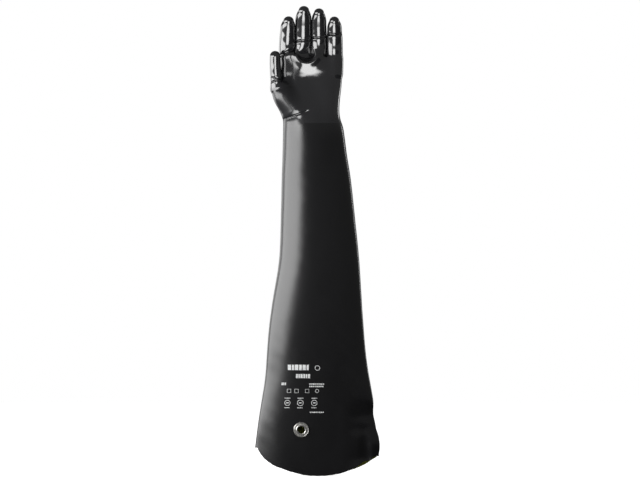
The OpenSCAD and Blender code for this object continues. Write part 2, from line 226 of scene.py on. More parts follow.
# Rows are height over the wrist, left edge, right edge, middle of the depth, half depth
PALM_ROWS = np.array([
    (-60, -54.6, 53.6, 0.0, 30.2),
    (-20, -54.0, 48.8, 0.0, 29.8),
    (-2, -53.6, 42.6, 0.0, 28.8),
    (10, -54.5, 40.8, 0.0, 27.2),
    (24, -57.5, 40.8, 0.2, 25.5),
    (40, -58.5, 42.4, 0.3, 23.4),
    (60, -57.0, 45.2, 0.0, 20.2),
    (80, -57.5, 45.6, -1.6, 16.8),
    (100, -58.0, 46.0, -3.4, 14.6),
    (125, -57.5, 46.0, -5.0, 13.0),
])
wrist_half = (wrist_high[0] - wrist_low[0]) / 2


def sleeve_half_width(z):
    t = np.clip(z / wrist_z, 0, 1)
    cuff_half = (cuff_high[0] - cuff_low[0]) / 2
    return wrist_half + (cuff_half * 1.062 - wrist_half) * (1 - t) ** 1.25


# Soft rubber is drawn in a little along its sides, and swells once under the wrist.
# Each hollow: the height of its middle, how far it reaches up and down, and its depth, below 0 for a swell.
THUMB_SIDE = ((elbow_z - 165, 50, 3.5), (elbow_z + 35, 60, 5.0), (elbow_z + 180, 45, -1.5))
FAR_SIDE = ((25, 65, 3.0), (elbow_z - 145, 60, 2.0), (elbow_z + 105, 60, 2.0))


def hollowed(hollows, z):
    """How far the hollows draw a side in at height z."""
    return sum(depth * bump((z - height) / reach) for height, reach, depth in hollows)


def sleeve_rows():
    rows = []
    for z in np.arange(0, wrist_z - 70, 10.0):
        t = z / wrist_z
        middle = CUFF_SHIFT - WRIST_SHIFT * t**8
        half = sleeve_half_width(z)
        lean = 1.9 * math.sin(2 * math.pi * (z - elbow_z) / 420)
        depth = (cuff_high[1] - cuff_low[1]) / 2
        half_depth = depth + 1.5 - 1.5 * t**4 - 13 * (1 - t) ** 2
        left_side = middle - half + hollowed(THUMB_SIDE, z) + 0.2 * lean
        right_side = middle + half - hollowed(FAR_SIDE, z) + 1.8 * lean + 1.2
        rows.append((z, left_side, right_side, 0, half_depth))
    for row in PALM_ROWS:
        rows.append((row[0] + wrist_z, *row[1:]))
    return np.array(rows)


rows = sleeve_rows()
left_edge = smooth_table(rows[:, 0], rows[:, 1])
right_edge = smooth_table(rows[:, 0], rows[:, 2])
mid_depth = smooth_table(rows[:, 0], rows[:, 3])
half_depth = smooth_table(rows[:, 0], rows[:, 4])
squareness = smooth_table([0, wrist_z - 40, wrist_z + 50, wrist_z + 100], [2.0, 2.0, 2.1, 2.4])


def section(z):
    left, right = left_edge(z), right_edge(z)
    return (left + right) / 2, mid_depth(z), (right - left) / 2, half_depth(z), squareness(z)


def form_distance(p):
    cx, cy, a, b, n = section(p[:, 2])
    u = np.abs((p[:, 0] - cx) / a) + 1e-9
    v = np.abs((p[:, 1] - cy) / b) + 1e-9
    g = (u**n + v**n) ** (1 / n)
    slope = g ** (1 - n) * np.sqrt((u ** (n - 1) / a) ** 2 + (v ** (n - 1) / b) ** 2)
    return (g - 1) / np.maximum(slope, 1e-4)


def line_bump(p, x0, z0, x1, z1, width, fade):
    """1 along the segment from (x0, z0) to (x1, z1) seen from the front, falling off across and past it."""
    d = np.array([x1 - x0, z1 - z0], float)
    length = np.linalg.norm(d)
    d /= length
    along = (p[:, 0] - x0) * d[0] + (p[:, 2] - z0) * d[1]
    across = -(p[:, 0] - x0) * d[1] + (p[:, 2] - z0) * d[0]
    ends = ease((along + fade) / fade) * ease((length + fade - along) / fade)
    return bump(across / width) * ends


def relief(p):
    """How far the surface stands out from the plain form: soft dents, the wrist crease and the cuff's ear."""
    x, y, z = p.T
    front = ease(-y / 8 + 0.5)
    back = 1 - front
    out = 0.15 * waves(p, 190, 1.3) + 0.03 * waves(p, 60, 4.1)
    out = out * ease((wrist_z + 60 - z) / 120) + 0.04 * waves(p, 34, 2.2)
    # the crease that climbs from the thumb side across the wrist, and the roll of rubber above it
    w = wrist_z
    out = out - 1.2 * front * line_bump(p, -58, w - 3, -18, w + 10, 1.5, 14)
    out = out + 0.4 * front * line_bump(p, -58, w + 2, -24, w + 14, 4.5, 14)
    out = out - 0.8 * back * line_bump(p, -50, w + 4, 20, w + 2, 1.6, 16)
    out = out + 0.7 * ease((x - 10) / 30) * bump((z - (w - 12)) / 9)
    # a shallow hollow on the little-finger side of the forearm, below the wrist
    out = out - 1.3 * front * bump((x - 34) / 12) * bump((z - (w - 48)) / 26)
    # the ball of the thumb slopes away to its side of the palm
    slope = 0.4 * np.log1p(np.exp(np.clip(-(x + 27) / 8, -30, 30)))
    out = out - front * slope * bump((z - (w + 38)) / 52)
    # the palm: its hollow, and the pads at the little-finger side and under the fingers
    out = out - 3.6 * front * bump((x + 8) / 21) * bump((z - (w + 52)) / 26)
    out = out + 3.0 * front * bump((x - 27) / 13) * bump((z - (w + 42)) / 24)
    out = out + 1.4 * front * bump((z - (w + 84)) / 9) * bump((x + 4) / 34)
    # the back of the hand: low ridges over the knuckles
    out = out + 1.2 * back * bump((z - (w + 88)) / 12) * (0.5 + 0.5 * np.cos((x + 22) * 2 * math.pi / 26))
    # the ear at the cuff's far corner: pinched above and under it, with a fold down the front
    side = ease((x - 45) / 50)
    out = out - 4.2 * side * bump((z - 101) / 17)
    out = out - 2.0 * side * bump((z - 79) / 10) - 4.5 * side * bump((z - 30) / 13)
    out = out - 5.0 * front * bump((x - 84 + (z - 50) * 0.12) / 8) * ease((92 - z) / 60)
    out = out + 2.2 * front * bump((x - 97) / 8) * ease((85 - z) / 50)
    # slight sags of the flat cuff
    out = out + 1.6 * front * bump((x + 58) / 26) * ease((120 - z) / 120)
    out = out - 1.5 * front * bump((x - 30) / 30) * ease((90 - z) / 110)
    return out


# ---------------------------------------------------------------- fingers and thumb

# Half widths at the root, knuckle, middle joint, tip joint and tip
FINGER_HALF = {
    "index": (13.8, 14.0, 13.8, 12.9, 8.6),
    "middle": (13.8, 14.0, 14.5, 13.7, 8.8),
    "ring": (13.5, 13.6, 13.6, 12.8, 8.4),
    "little": (14.2, 14.3, 13.9, 12.4, 8.2),
}
# How far each finger's middle lies to the little-finger side of its hinges, at the root, knuckle, ... and tip
FINGER_SIDE = {
    "index": (0.4, 0.2, -0.2, 0.0, 1.0),
    "middle": (1.4, 1.4, 0.8, 0.1, 0.9),
    "ring": (1.5, 1.5, 0.6, -0.8, -0.4),
    "little": (0.9, 1.0, 0.5, 0.2, -0.1),
}
FLATNESS = 1.12     # fingers are this much wider than deep
# Each groove: the joint it lies by, how far past it, depth, width, slant
FINGER_CREASES = {
    "index": ((1, 3, 2.8, 2.6, 0.55),),
    "middle": ((2, -3, 2.0, 1.6, 0.12),),
    "ring": ((2, 5, 1.6, 1.5, 0.05),),
    "little": ((3, -4, 2.6, 1.8, 0.05),),
}


def finger_tube(name):
    knuckle, middle, tip = (joint_at[f"{name}_{part}"] for part in ("knuckle", "middle", "tip"))
    low, high = box_mm(f"{name}_tip")
    half = FINGER_HALF[name]
    r = [v / FLATNESS for v in half]
    end = np.array([(low[0] + high[0]) / 2, low[1] + r[4], high[2] - r[4]])
    root = knuckle + np.array([-(middle - knuckle)[0] * 0.4, 2.2, -30])
    points = np.array([root, knuckle, middle, tip, end])
    points[:, 0] += FINGER_SIDE[name]
    tube = Tube(points, r, wide=FLATNESS)
    tube.grooves = [(tube.t[joint] + past, *crease) for joint, past, *crease in FINGER_CREASES[name]]
    tube.pads = [((tube.t[2] + tube.t[3]) / 2, 0.9, 8), (tube.t[4] - 4, 0.8, 8), (tube.t[1] + 11, 0.8, 8)]
    return tube


fingers = {name: finger_tube(name) for name in FINGERS}


def thumb_tubes():
    spread, knuckle, tip = (joint_at[f"thumb_{part}"] for part in ("spread", "knuckle", "tip"))
    low, high = box_mm("thumb_tip")
    r = 8.8
    end = np.array([(low[0] + high[0]) / 2 - 0.2, low[1] + r + 0.3, high[2] - r])
    free = Tube([spread, knuckle, tip, end], [12.0, 10.1, 9.3, r])
    free.grooves = [(free.t[1] + 1.5, 1.3, 1.1, 0.25), (free.t[1] + 5.5, 0.9, 1.0, -0.35)]
    free.pads = [(free.t[2] - 3, 0.8, 7)]
    root = Tube([spread + (34, 5, -43), spread + (13, 2, -20), spread], [17, 17.6, 12.0])
    pad = Tube([spread + (28, 0, -30), spread + (14, -3, -12), spread + (9.5, -4, 1)], [17, 14.5, 12.0])
    return root, pad, free


thumb_root, thumb_pad, thumb_free = thumb_tubes()
# the fullness between the thumb and the index finger, up the edge of the palm
web_path = [(-47.5, -7, CUT_FINGERS - 42), (-48, -6, CUT_FINGERS - 22), (-50, -4, CUT_FINGERS - 2)]
first_web = Tube(web_path, [7.5, 7.5, 9.0])


def near(tube, p, margin=14):
    """Distance to a tube, worked out only for points near its box."""
    reach = tube.r.max() + margin
    low, high = tube.p.min(0) - reach, tube.p.max(0) + reach
    hit = ((p > low) & (p < high)).all(1)
    d = np.full(len(p), FAR)
    if hit.any():
        d[hit] = tube.distance(p[hit])
    return d


def palm_distance(p):
    """The sleeve and palm with the thumb's root and pad, rounded off at the finger webs."""
    x, _y, z = p.T
    d = form_distance(p)
    shrink = 0.4 * ease((z - CUT_THUMB + 3) / 3)
    d = join(d, near(thumb_root, p) + shrink, 13.0)
    d = join(d, near(thumb_pad, p), 13.0)
    d = join(d, near(first_web, p), 8.0)
    d = d - relief(p)
    top = CUT_FINGERS - 1.0 + 2.0 * bump((x + 47) / 12) + 1.0 * bump((x - 30) / 14)
    return -join(-d, -(z - top), 6.0)


def pocket(p):
    """The pocket between the roots of the middle and ring fingers, and the raised rim under it."""
    x, y, z = p.T
    front = ease((-y - 6) / 8)
    dx, dz = (x + 14.5) / 16, (z - CUT_FINGERS - 4) / 14
    out = np.sqrt(dx * dx + dz * dz)
    hollow = 5.5 * bump(out / 0.72)
    rim = 4.6 * bump((out - 1.08) / np.where(out > 1.08, 0.52, 0.3)) * ease(0.75 - dz)
    return front * (hollow - rim)


def thumb_room(p):
    """Room beside the palm for the thumb when it is pressed back."""
    x, y, z = p.T
    return 2.7 * bump((x + 60) / 6) * bump((y + 9.5) / 8) * bump((z - CUT_FINGERS + 11) / 13)


def hand_distance(p):
    """The palm with the stubs of the fingers and thumb on it."""
    z = p[:, 2]
    d = palm_distance(p)
    stub = near(thumb_free, p) + 0.12 * ease((z - CUT_THUMB + 1) / 1)
    d = join(d, np.maximum(stub, z - CUT_THUMB - 3), 1.6)
    digits = np.full(len(p), FAR)
    for name in FINGERS:
        digits = join(digits, near(fingers[name], p), 1.2)
    return join(d, digits, 5.0) + pocket(p) + thumb_room(p)


def finger_distance(name):
    beside = [other for other in FINGERS if abs(FINGERS.index(other) - FINGERS.index(name)) == 1]

    def distance(p):
        mine = near(fingers[name], p)
        d = join(palm_distance(p), mine, 5.0) + pocket(p) + thumb_room(p)
        for other in beside:
            d = -join(-d, -((mine - near(fingers[other], p)) / 2 - 0.2), 1.0)
        return d

    return distance


def thumb_distance(p):
    return near(thumb_free, p)


def gradient(f, p, eps=0.12):
    g = np.empty_like(p)
    for k in range(3):
        step = np.zeros(3)
        step[k] = eps
        g[:, k] = (f(p + step) - f(p - step)) / (2 * eps)
    return g


def settle(f, p, reach, rounds=2, level=False):
    """Moves points onto the surface where f is 0, at most reach millimetres, and if level only sideways."""
    start = p.copy()
    for _ in range(rounds):
        g = gradient(f, p)
        if level:
            g[:, 2] = 0
        p = p - g * (f(p) / np.maximum((g * g).sum(1), 0.05))[:, None]
        off = p - start
        far = np.linalg.norm(off, axis=1)
        p = np.where((far > reach)[:, None], start + off * (reach / np.maximum(far, 1e-9))[:, None], p)
    return p


# ---------------------------------------------------------------- meshing


def surface_net(f, low, high, step):
    """Quads over the surface f = 0 inside a box."""
    axes = [np.arange(l, h + step, step) for l, h in zip(low, high)]
    shape = [len(a) for a in axes]
    grid = np.stack(np.meshgrid(*axes, indexing="ij"), -1)
    values = np.concatenate([f(slab.reshape(-1, 3)) for slab in grid]).reshape(shape)
    inside = values < 0
    cells = [n - 1 for n in shape]
    total = np.zeros(cells + [3])
    count = np.zeros(cells)
    corners = [(i, j, k) for i in (0, 1) for j in (0, 1) for k in (0, 1)]

    def corner(array, c):
        return array[c[0] : c[0] + cells[0], c[1] : c[1] + cells[1], c[2] : c[2] + cells[2]]

    for a in corners:
        for axis in range(3):
            if a[axis]:
                continue
            b = tuple(v + (k == axis) for k, v in enumerate(a))
            fa, fb = corner(values, a), corner(values, b)
            crossing = corner(inside, a) != corner(inside, b)
            share = np.where(crossing, fa / np.where(crossing, fa - fb, 1), 0)
            count += crossing
            for k in range(3):
                total[..., k] += crossing * (a[k] + (share if k == axis else 0))
    used = count > 0
    number = np.full(cells, -1)
    number[used] = np.arange(used.sum())
    place = np.stack(np.nonzero(used), -1) + total[used] / count[used][:, None]
    points = place * step + np.array([a[0] for a in axes])
    quads = []
    for axis in range(3):
        u, v = [k for k in range(3) if k != axis]
        first = [slice(None)] * 3
        second = [slice(None)] * 3
        first[axis], second[axis] = slice(0, -1), slice(1, None)
        edge = inside[tuple(first)] != inside[tuple(second)]
        at = np.stack(np.nonzero(edge), -1)
        ok = (at[:, u] > 0) & (at[:, v] > 0) & (at[:, u] < cells[u]) & (at[:, v] < cells[v])
        at = at[ok]
        ring = []
        for du, dv in ((-1, -1), (0, -1), (0, 0), (-1, 0)):
            c = at.copy()
            c[:, u] += du
            c[:, v] += dv
            ring.append(number[c[:, 0], c[:, 1], c[:, 2]])
        quad = np.stack(ring, -1)
        flip = inside[at[:, 0], at[:, 1], at[:, 2]] == (axis == 1)
        quad[flip] = quad[flip][:, ::-1]
        quads.append(quad)
    quads = np.concatenate(quads)
    return points, quads[(quads >= 0).all(1)]


def to_bmesh(points, faces):
    bm = bmesh.new()
    verts = [bm.verts.new(p) for p in points]
    for face in faces:
        bm.faces.new([verts[i] for i in face])
    return bm


def cut(points, faces, at, toward):
    """Keeps the part of a mesh on the toward side of the plane through at."""
    bm = to_bmesh(points, faces)
    bmesh.ops.bisect_plane(
        bm,
        geom=bm.verts[:] + bm.edges[:] + bm.faces[:],
        dist=1e-5,
        plane_co=at,
        plane_no=toward,
        clear_inner=True,
    )
    bmesh.ops.dissolve_degenerate(bm, dist=1e-4, edges=bm.edges[:])
    out = arrays(bm)
    bm.free()
    return out


def arrays(bm):
    bm.verts.index_update()
    points = np.array([v.co for v in bm.verts]).reshape(-1, 3)
    faces = [[v.index for v in face.verts] for face in bm.faces]
    return points, faces


def drop(points, faces, gone):
    """Removes the faces that gone picks, and the points that nothing uses."""
    faces = [face for face in faces if not gone(points[face])]
    used = np.unique(np.concatenate([np.array(face) for face in faces]))
    number = np.full(len(points), -1)
    number[used] = np.arange(len(used))
    return points[used], [[int(number[i]) for i in face] for face in faces]


def shell(name, points, faces, normals, outer, thick, material):
    """A closed sheet whose outer face lies outer under the surface, thick millimetres through."""
    n = len(points)
    top = points - normals * outer
    under = points - normals * (outer + thick)
    seen = {}
    for face in faces:
        for a, b in zip(face, face[1:] + face[:1]):
            seen[(a, b)] = True
    rims = [(a, b) for a, b in seen if (b, a) not in seen]
    everything = [list(face) for face in faces]
    everything += [[i + n for i in reversed(face)] for face in faces]
    everything += [[b, a, a + n, b + n] for a, b in rims]
    mesh = bpy.data.meshes.new(name)
    mesh.from_pydata((np.concatenate([top, under]) + home) * MM, [], everything)
    mesh.polygons.foreach_set("use_smooth", [True] * len(mesh.polygons))
    mesh.update()
    corner_normals = np.empty((len(mesh.loops), 3))
    corner_vertex = np.empty(len(mesh.loops), np.int64)
    mesh.loops.foreach_get("vertex_index", corner_vertex)
    both = np.concatenate([normals, -normals])
    corner_normals[:] = both[corner_vertex]
    first_rim = sum(len(face) for face in everything) - 4 * len(rims)
    rim_normals = np.empty((len(mesh.polygons), 3))
    mesh.polygons.foreach_get("normal", rim_normals.ravel())
    flat = np.repeat(rim_normals[len(everything) - len(rims) :], 4, axis=0)
    corner_normals[first_rim:] = flat
    mesh.normals_split_custom_set(corner_normals)
    mesh.materials.append(material)
    obj = bpy.data.objects.new(name, mesh)
    bpy.context.scene.collection.objects.link(obj)
    return obj


# ---------------------------------------------------------------- materials


def nodes_for(name):
    mat = bpy.data.materials.new(name)
    mat.use_nodes = True
    tree = mat.node_tree
    return mat, tree, tree.nodes["Principled BSDF"]


def link(tree, a, b):
    tree.links.new(a, b)


def node(tree, kind, **inputs):
    n = tree.nodes.new(kind)
    for key, value in inputs.items():
        n.inputs[key.replace("_", " ")].default_value = value
    return n


def noise(tree, scale, detail=3.0, stretch=None):
    """Noise laid over the object's own place, so it stays put when the glove bends."""
    rest = tree.nodes.new("ShaderNodeAttribute")
    rest.attribute_name = "rest"
    n = node(tree, "ShaderNodeTexNoise", Scale=scale, Detail=detail)
    if stretch:
        squash = tree.nodes.new("ShaderNodeVectorMath")
        squash.operation = "MULTIPLY"
        squash.inputs[1].default_value = stretch
        link(tree, rest.outputs["Vector"], squash.inputs[0])
        link(tree, squash.outputs["Vector"], n.inputs["Vector"])
    else:
        link(tree, rest.outputs["Vector"], n.inputs["Vector"])
    return n


def ranged(tree, socket, low, high, start=0.0, end=1.0):
    n = node(tree, "ShaderNodeMapRange")
    n.inputs["From Min"].default_value = start
    n.inputs["From Max"].default_value = end
    n.inputs["To Min"].default_value = low
    n.inputs["To Max"].default_value = high
    link(tree, socket, n.inputs["Value"])
    return n.outputs["Result"]


def mixed(tree, factor, a, b):
    n = node(tree, "ShaderNodeMix")
    n.data_type = "FLOAT"
    link(tree, factor, n.inputs["Factor"])
    for value, socket in ((a, n.inputs["A"]), (b, n.inputs["B"])):
        if isinstance(value, (int, float)):
            socket.default_value = value
        else:
            link(tree, value, socket)
    return n.outputs["Result"]


def bumped(tree, shader, layers):
    """Adds fine relief. Each layer is a height socket, how deep it is in metres and its strength."""
    normal = None
    for height, depth, strength in layers:
        n = node(tree, "ShaderNodeBump", Strength=strength, Distance=depth)
        link(tree, height, n.inputs["Height"])
        if normal:
            link(tree, normal, n.inputs["Normal"])
        normal = n.outputs["Normal"]
    link(tree, normal, shader.inputs["Normal"])


def rubber_material(name):
    """Dipped black neoprene: glossy on the hand, satin up the sleeve, with faint smears and fine pits."""
    mat, tree, shader = nodes_for(name)
    gloss = tree.nodes.new("ShaderNodeAttribute")
    gloss.attribute_name = "gloss"
    smear = noise(tree, 42.0, 4.0, (1.0, 1.0, 0.45))
    pits = noise(tree, 900.0, 2.0)
    rolls = noise(tree, 95.0, 3.0)
    satin = ranged(tree, smear.outputs["Fac"], 0.19, 0.25)
    shine = ranged(tree, smear.outputs["Fac"], 0.10, 0.16)
    link(tree, mixed(tree, gloss.outputs["Fac"], satin, shine), shader.inputs["Roughness"])
    ramp = tree.nodes.new("ShaderNodeValToRGB")
    ramp.color_ramp.elements[0].color = (0.0045, 0.0045, 0.005, 1)
    ramp.color_ramp.elements[1].color = (0.008, 0.008, 0.009, 1)
    link(tree, smear.outputs["Fac"], ramp.inputs["Fac"])
    link(tree, ramp.outputs["Color"], shader.inputs["Base Color"])
    shader.inputs["Specular IOR Level"].default_value = 0.5
    link(tree, gloss.outputs["Fac"], shader.inputs["Coat Weight"])
    shader.inputs["Coat Roughness"].default_value = 0.06
    bumped(tree, shader, [(rolls.outputs["Fac"], 0.0002, 0.2), (pits.outputs["Fac"], 0.00006, 0.5)])
    return mat


def knit_material():
    """A matt yellow-green knit: rows of small loops, darker between them, where shade is painted."""
    mat, tree, shader = nodes_for("liner_knit")
    rest = tree.nodes.new("ShaderNodeAttribute")
    rest.attribute_name = "rest"
    rows_wave = node(tree, "ShaderNodeTexWave", Scale=130.0, Distortion=1.2)
    rows_wave.bands_direction = "Z"
    rows_wave.inputs["Detail Scale"].default_value = 400.0
    ribs = node(tree, "ShaderNodeTexWave", Scale=110.0, Distortion=0.8)
    ribs.bands_direction = "X"
    ribs.inputs["Detail Scale"].default_value = 400.0
    for wave in (rows_wave, ribs):
        link(tree, rest.outputs["Vector"], wave.inputs["Vector"])
    loops = tree.nodes.new("ShaderNodeMath")
    loops.operation = "MULTIPLY"
    link(tree, rows_wave.outputs["Fac"], loops.inputs[0])
    link(tree, ribs.outputs["Fac"], loops.inputs[1])
    # painted shade: the colour runs from olive in the gaps between the loops to yellow-green on the loops
    ramp = tree.nodes.new("ShaderNodeValToRGB")
    ramp.color_ramp.elements[0].color = (0.33, 0.35, 0.045, 1)
    ramp.color_ramp.elements[1].color = (0.66, 0.69, 0.13, 1)
    link(tree, loops.outputs["Value"], ramp.inputs["Fac"])
    link(tree, ramp.outputs["Color"], shader.inputs["Base Color"])
    shader.inputs["Roughness"].default_value = 0.9
    fuzz = noise(tree, 1500.0, 4.0)
    bumped(tree, shader, [(loops.outputs["Value"], 0.0004, 0.8), (fuzz.outputs["Fac"], 0.0002, 0.4)])
    return mat


def metal_material():
    """Nickel plate with fine turning marks and dulled patches."""
    mat, tree, shader = nodes_for("eyelet_metal")
    spot = tree.nodes.new("ShaderNodeTexCoord")
    dull = node(tree, "ShaderNodeTexNoise", Scale=260.0, Detail=4.0)
    fine = node(tree, "ShaderNodeTexNoise", Scale=2400.0, Detail=2.0)
    for n in (dull, fine):
        link(tree, spot.outputs["Object"], n.inputs["Vector"])
    link(tree, ranged(tree, dull.outputs["Fac"], 0.2, 0.36, 0.35, 0.65), shader.inputs["Roughness"])
    ramp = tree.nodes.new("ShaderNodeValToRGB")
    ramp.color_ramp.elements[0].color = (0.58, 0.57, 0.54, 1)
    ramp.color_ramp.elements[1].color = (0.80, 0.79, 0.76, 1)
    link(tree, dull.outputs["Fac"], ramp.inputs["Fac"])
    link(tree, ramp.outputs["Color"], shader.inputs["Base Color"])
    shader.inputs["Metallic"].default_value = 1.0
    bumped(tree, shader, [(fine.outputs["Fac"], 0.00003, 0.6)])
    return mat


def ink_material():
    """Off-white ink, a little worn."""
    mat, tree, shader = nodes_for("printed_marks")
    wear = noise(tree, 700.0, 5.0)
    ramp = tree.nodes.new("ShaderNodeValToRGB")
    ramp.color_ramp.elements[0].position = 0.32
    ramp.color_ramp.elements[0].color = (0.40, 0.41, 0.41, 1)
    ramp.color_ramp.elements[1].position = 0.46
    ramp.color_ramp.elements[1].color = (0.80, 0.81, 0.81, 1)
    link(tree, wear.outputs["Fac"], ramp.inputs["Fac"])
    link(tree, ramp.outputs["Color"], shader.inputs["Base Color"])
    shader.inputs["Roughness"].default_value = 0.55
    bumped(tree, shader, [(wear.outputs["Fac"], 0.00004, 0.4)])
    return mat


sleeve_rubber = rubber_material("sleeve_rubber")
hand_rubber = rubber_material("hand_rubber")
liner_knit = knit_material()
eyelet_metal = metal_material()
printed_marks = ink_material()

# ---------------------------------------------------------------- skins, cut into pieces

LAYERS = {
    "coat": (0.0, COAT),
    "liner": (LINER_OUT, LINER),
    "hand liner": (LINER_OUT + CREASE_ROOM, LINER),
}


def glossiness(p):
    """1 where the rubber is glossy: on the hand, except over the ball of the thumb. 0 up the sleeve."""
    x, _y, z = p.T
    ball = ease((-x - 18) / 24) * ease((wrist_z + 118 - z) / 34)
    ball = ball * (1 - ease((-x - 56) / 6) * ease((z - CUT_THUMB + 4) / 10))
    return ease((z - wrist_z + 45) / 75) * (1 - 0.97 * ball)


def piece(name, layer, skin, f, material, nodes):
    """One closed length of skin, one layer over the surface f, put in place of the CAD nodes it hides."""
    points, faces = skin
    normals = gradient(f, points)
    normals /= np.linalg.norm(normals, axis=1)[:, None]
    outer, thick = LAYERS[layer]
    obj = shell(name, points, faces, normals, outer, thick, material)
    mesh = obj.data
    both = np.concatenate([points, points])
    mesh.attributes.new("rest", "FLOAT_VECTOR", "POINT").data.foreach_set("vector", (both * MM).ravel())
    mesh.attributes.new("gloss", "FLOAT", "POINT").data.foreach_set("value", glossiness(both))
    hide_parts(*nodes)
    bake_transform(obj)


def both_layers(name, skins, f, slot_name, a, b, start, end, coat_nodes, liner_nodes):
    material = sleeve_rubber if slot_name == "sleeve_rubber" else hand_rubber
    start, end = np.array(start, float), np.array(end, float)
    piece(f"{name}_coat", "coat", skins[0], f, material, coat_nodes)
    deep = "liner" if slot_name == "sleeve_rubber" else "hand liner"
    piece(f"{name}_lining", deep, skins[1], f, liner_knit, liner_nodes)


# The sleeve: rings from the arched cuff edge up


def cuff_edge(angle):
    """Height of the cuff's edge around the sleeve. The front layer sits a little higher at the right."""
    x = np.cos(angle)
    out = np.minimum(np.abs(x) * 1.045, 0.9995)
    rise = CUFF_RISE * (1 - np.sqrt(1 - out**2)) + 0.01
    left = rise * (1.14 - 0.1 * out**8) + 1.8 * bump((x + 0.47) / 0.2)
    left = (left**-8 + 50.0**-8) ** -0.125
    rise = np.where(x < 0, left, (rise**-4 + 34.0**-4) ** -0.25)
    front = ease(-np.sin(angle) / 0.5)
    rise = rise + 5.0 * front * bump((x - 0.72) / 0.28)
    return rise + 0.25 * np.sin(23 * angle + 1) * (0.6 + 0.4 * np.sin(5 * angle)) + 0.15 * np.sin(57 * angle)


def sleeve_skin(z0, z1, around, step):
    angle = np.arange(around) * 2 * math.pi / around
    count = max(2, int(round((z1 - z0) / step)) + 1)
    share = np.linspace(0, 1, count)[:, None]
    low = cuff_edge(angle) if z0 == 0 else np.full(around, float(z0))
    z = (low + share * (z1 - low)).ravel()
    angles = np.tile(angle, count)
    cx, cy, a, b, _n = section(z)
    p = np.stack([cx + a * np.cos(angles), cy + b * np.sin(angles), z], -1)
    p = settle(palm_distance, p, 12, rounds=4, level=True)
    faces = []
    for k in range(count - 1):
        for i in range(around):
            j = (i + 1) % around
            faces.append([k * around + i, k * around + j, (k + 1) * around + j, (k + 1) * around + i])
    return p, faces


def without_hole(skin, radius):
    """Leaves out the faces where the eyelet's barrel passes through the front of the sleeve."""

    def gone(corners):
        off = corners.mean(0) - eyelet_at
        off = off - eyelet_axis * (off @ eyelet_axis)
        return corners[:, 1].mean() < 0 and np.linalg.norm(off) < radius

    return drop(*skin, gone)


lower_skins = [
    without_hole(sleeve_skin(0, CUT_FOREARM, around, step), BARREL_ROOM)
    for around, step in ((256, 2.8), (144, 5.0))
]
both_layers(
    "lower_sleeve", lower_skins, palm_distance, "sleeve_rubber", "upper_sleeve", "forearm",
    (0, 0, elbow_z - 70), (0, 0, elbow_z + 70),
    ["upper_sleeve", "elbow_fold"], ["upper_sleeve_liner"],
)
upper_skins = [sleeve_skin(CUT_FOREARM, CUT_WRIST, around, step) for around, step in ((200, 2.0), (110, 4.0))]
both_layers(
    "upper_sleeve", upper_skins, palm_distance, "sleeve_rubber", "forearm", "wrist",
    (0, 0, tilt_z - 22), (0, 0, tilt_z + 22),
    ["forearm_sleeve", "wrist_side_fold"], ["forearm_liner"],
)

# The hand


def net_skin(f, low, high, step):
    points, faces = surface_net(f, low, high, step)
    return settle(f, points, step), faces


UP = np.array([0.0, 0.0, 1.0])
FINE, COARSE = ((1.3, 2.2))

hand_low = (-84, -40, CUT_WRIST - 4)
hand_high = (52, 36, CUT_FINGERS + 5)
hand_skins = []
for step in (FINE, COARSE):
    skin = net_skin(hand_distance, hand_low, hand_high, step)
    skin = cut(*skin, (0, 0, CUT_WRIST), UP)
    skin = cut(*skin, (0, 0, CUT_FINGERS), -UP)
    hand_skins.append(skin)
both_layers(
    "hand", hand_skins, hand_distance, "hand_rubber", "wrist", "hand",
    (0, 0, CUT_WRIST + 0.2), (0, 0, CUT_WRIST + 46),
    ["palm", "wrist_band", "wrist_bend_fold", "thumb_root"],
    ["palm_liner", "wrist_band_liner", "thumb_root_liner"],
)


def unit(v):
    return v / np.linalg.norm(v)


def digit(f, tube, cuts, zones, parts):
    """A digit in three pieces. cuts holds where each one starts and its direction; zones, the stretch about
    each joint, is not used.
    parts holds, for each piece, the body before it, which is not used, its own body, which names it, and the
    coat and liner nodes it replaces."""
    low = tube.p.min(0) - tube.r.max() - 6
    high = tube.p.max(0) + tube.r.max() + 6
    low[2] = cuts[0][0][2] - 4
    skins = [cut(*net_skin(f, low, high, step), *cuts[0]) for step in (FINE, COARSE)]
    for k in range(3):
        ends = skins
        if k < 2:
            at, along = cuts[k + 1]
            ends = [cut(*skin, at, -along) for skin in skins]
            skins = [cut(*skin, at, along) for skin in skins]
        a, b, coat_nodes, liner_nodes = parts[k]
        both_layers(b, ends, f, "hand_rubber", a, b, *zones[k], coat_nodes, liner_nodes)


for name in FINGERS:
    knuckle, middle, tip = (joint_at[f"{name}_{part}"] for part in ("knuckle", "middle", "tip"))
    end = fingers[name].p[-1]
    u1, u2, u3 = unit(middle - knuckle), unit(tip - middle), unit(end - tip)
    # where the middle and tip pieces start past their joints, and how far the middle bend reaches each way
    short = np.linalg.norm(middle - knuckle) < 26
    start2, start3 = (13.0, 12.5) if short else (17.0, 15.0)
    reach = (7.2, 9.6) if short else (9.5, 9.5)
    bend2, bend3 = unit(u1 + u2), unit(u2 + u3)
    base_part, middle_part, tip_part = (f"{name}_{part}" for part in ("base", "middle", "tip"))
    digit(
        finger_distance(name), fingers[name],
        [((0, 0, CUT_FINGERS), UP), (knuckle + start2 * u1, u1), (middle + start3 * u2, u2)],
        [
            ((*knuckle[:2], CUT_FINGERS + 0.2), (*knuckle[:2], CUT_FINGERS + 16.0)),
            (middle - reach[0] * bend2, middle + reach[1] * bend2),
            (tip - 5.2 * bend3, tip + 5.2 * bend3),
        ],
        [
            ("hand", base_part, [base_part, f"{name}_knuckle_fold"], [f"{base_part}_liner"]),
            (base_part, middle_part, [middle_part, f"{middle_part}_fold"], [f"{middle_part}_liner"]),
            (middle_part, tip_part, [tip_part, f"{tip_part}_fold"], [f"{tip_part}_liner"]),
        ],
    )

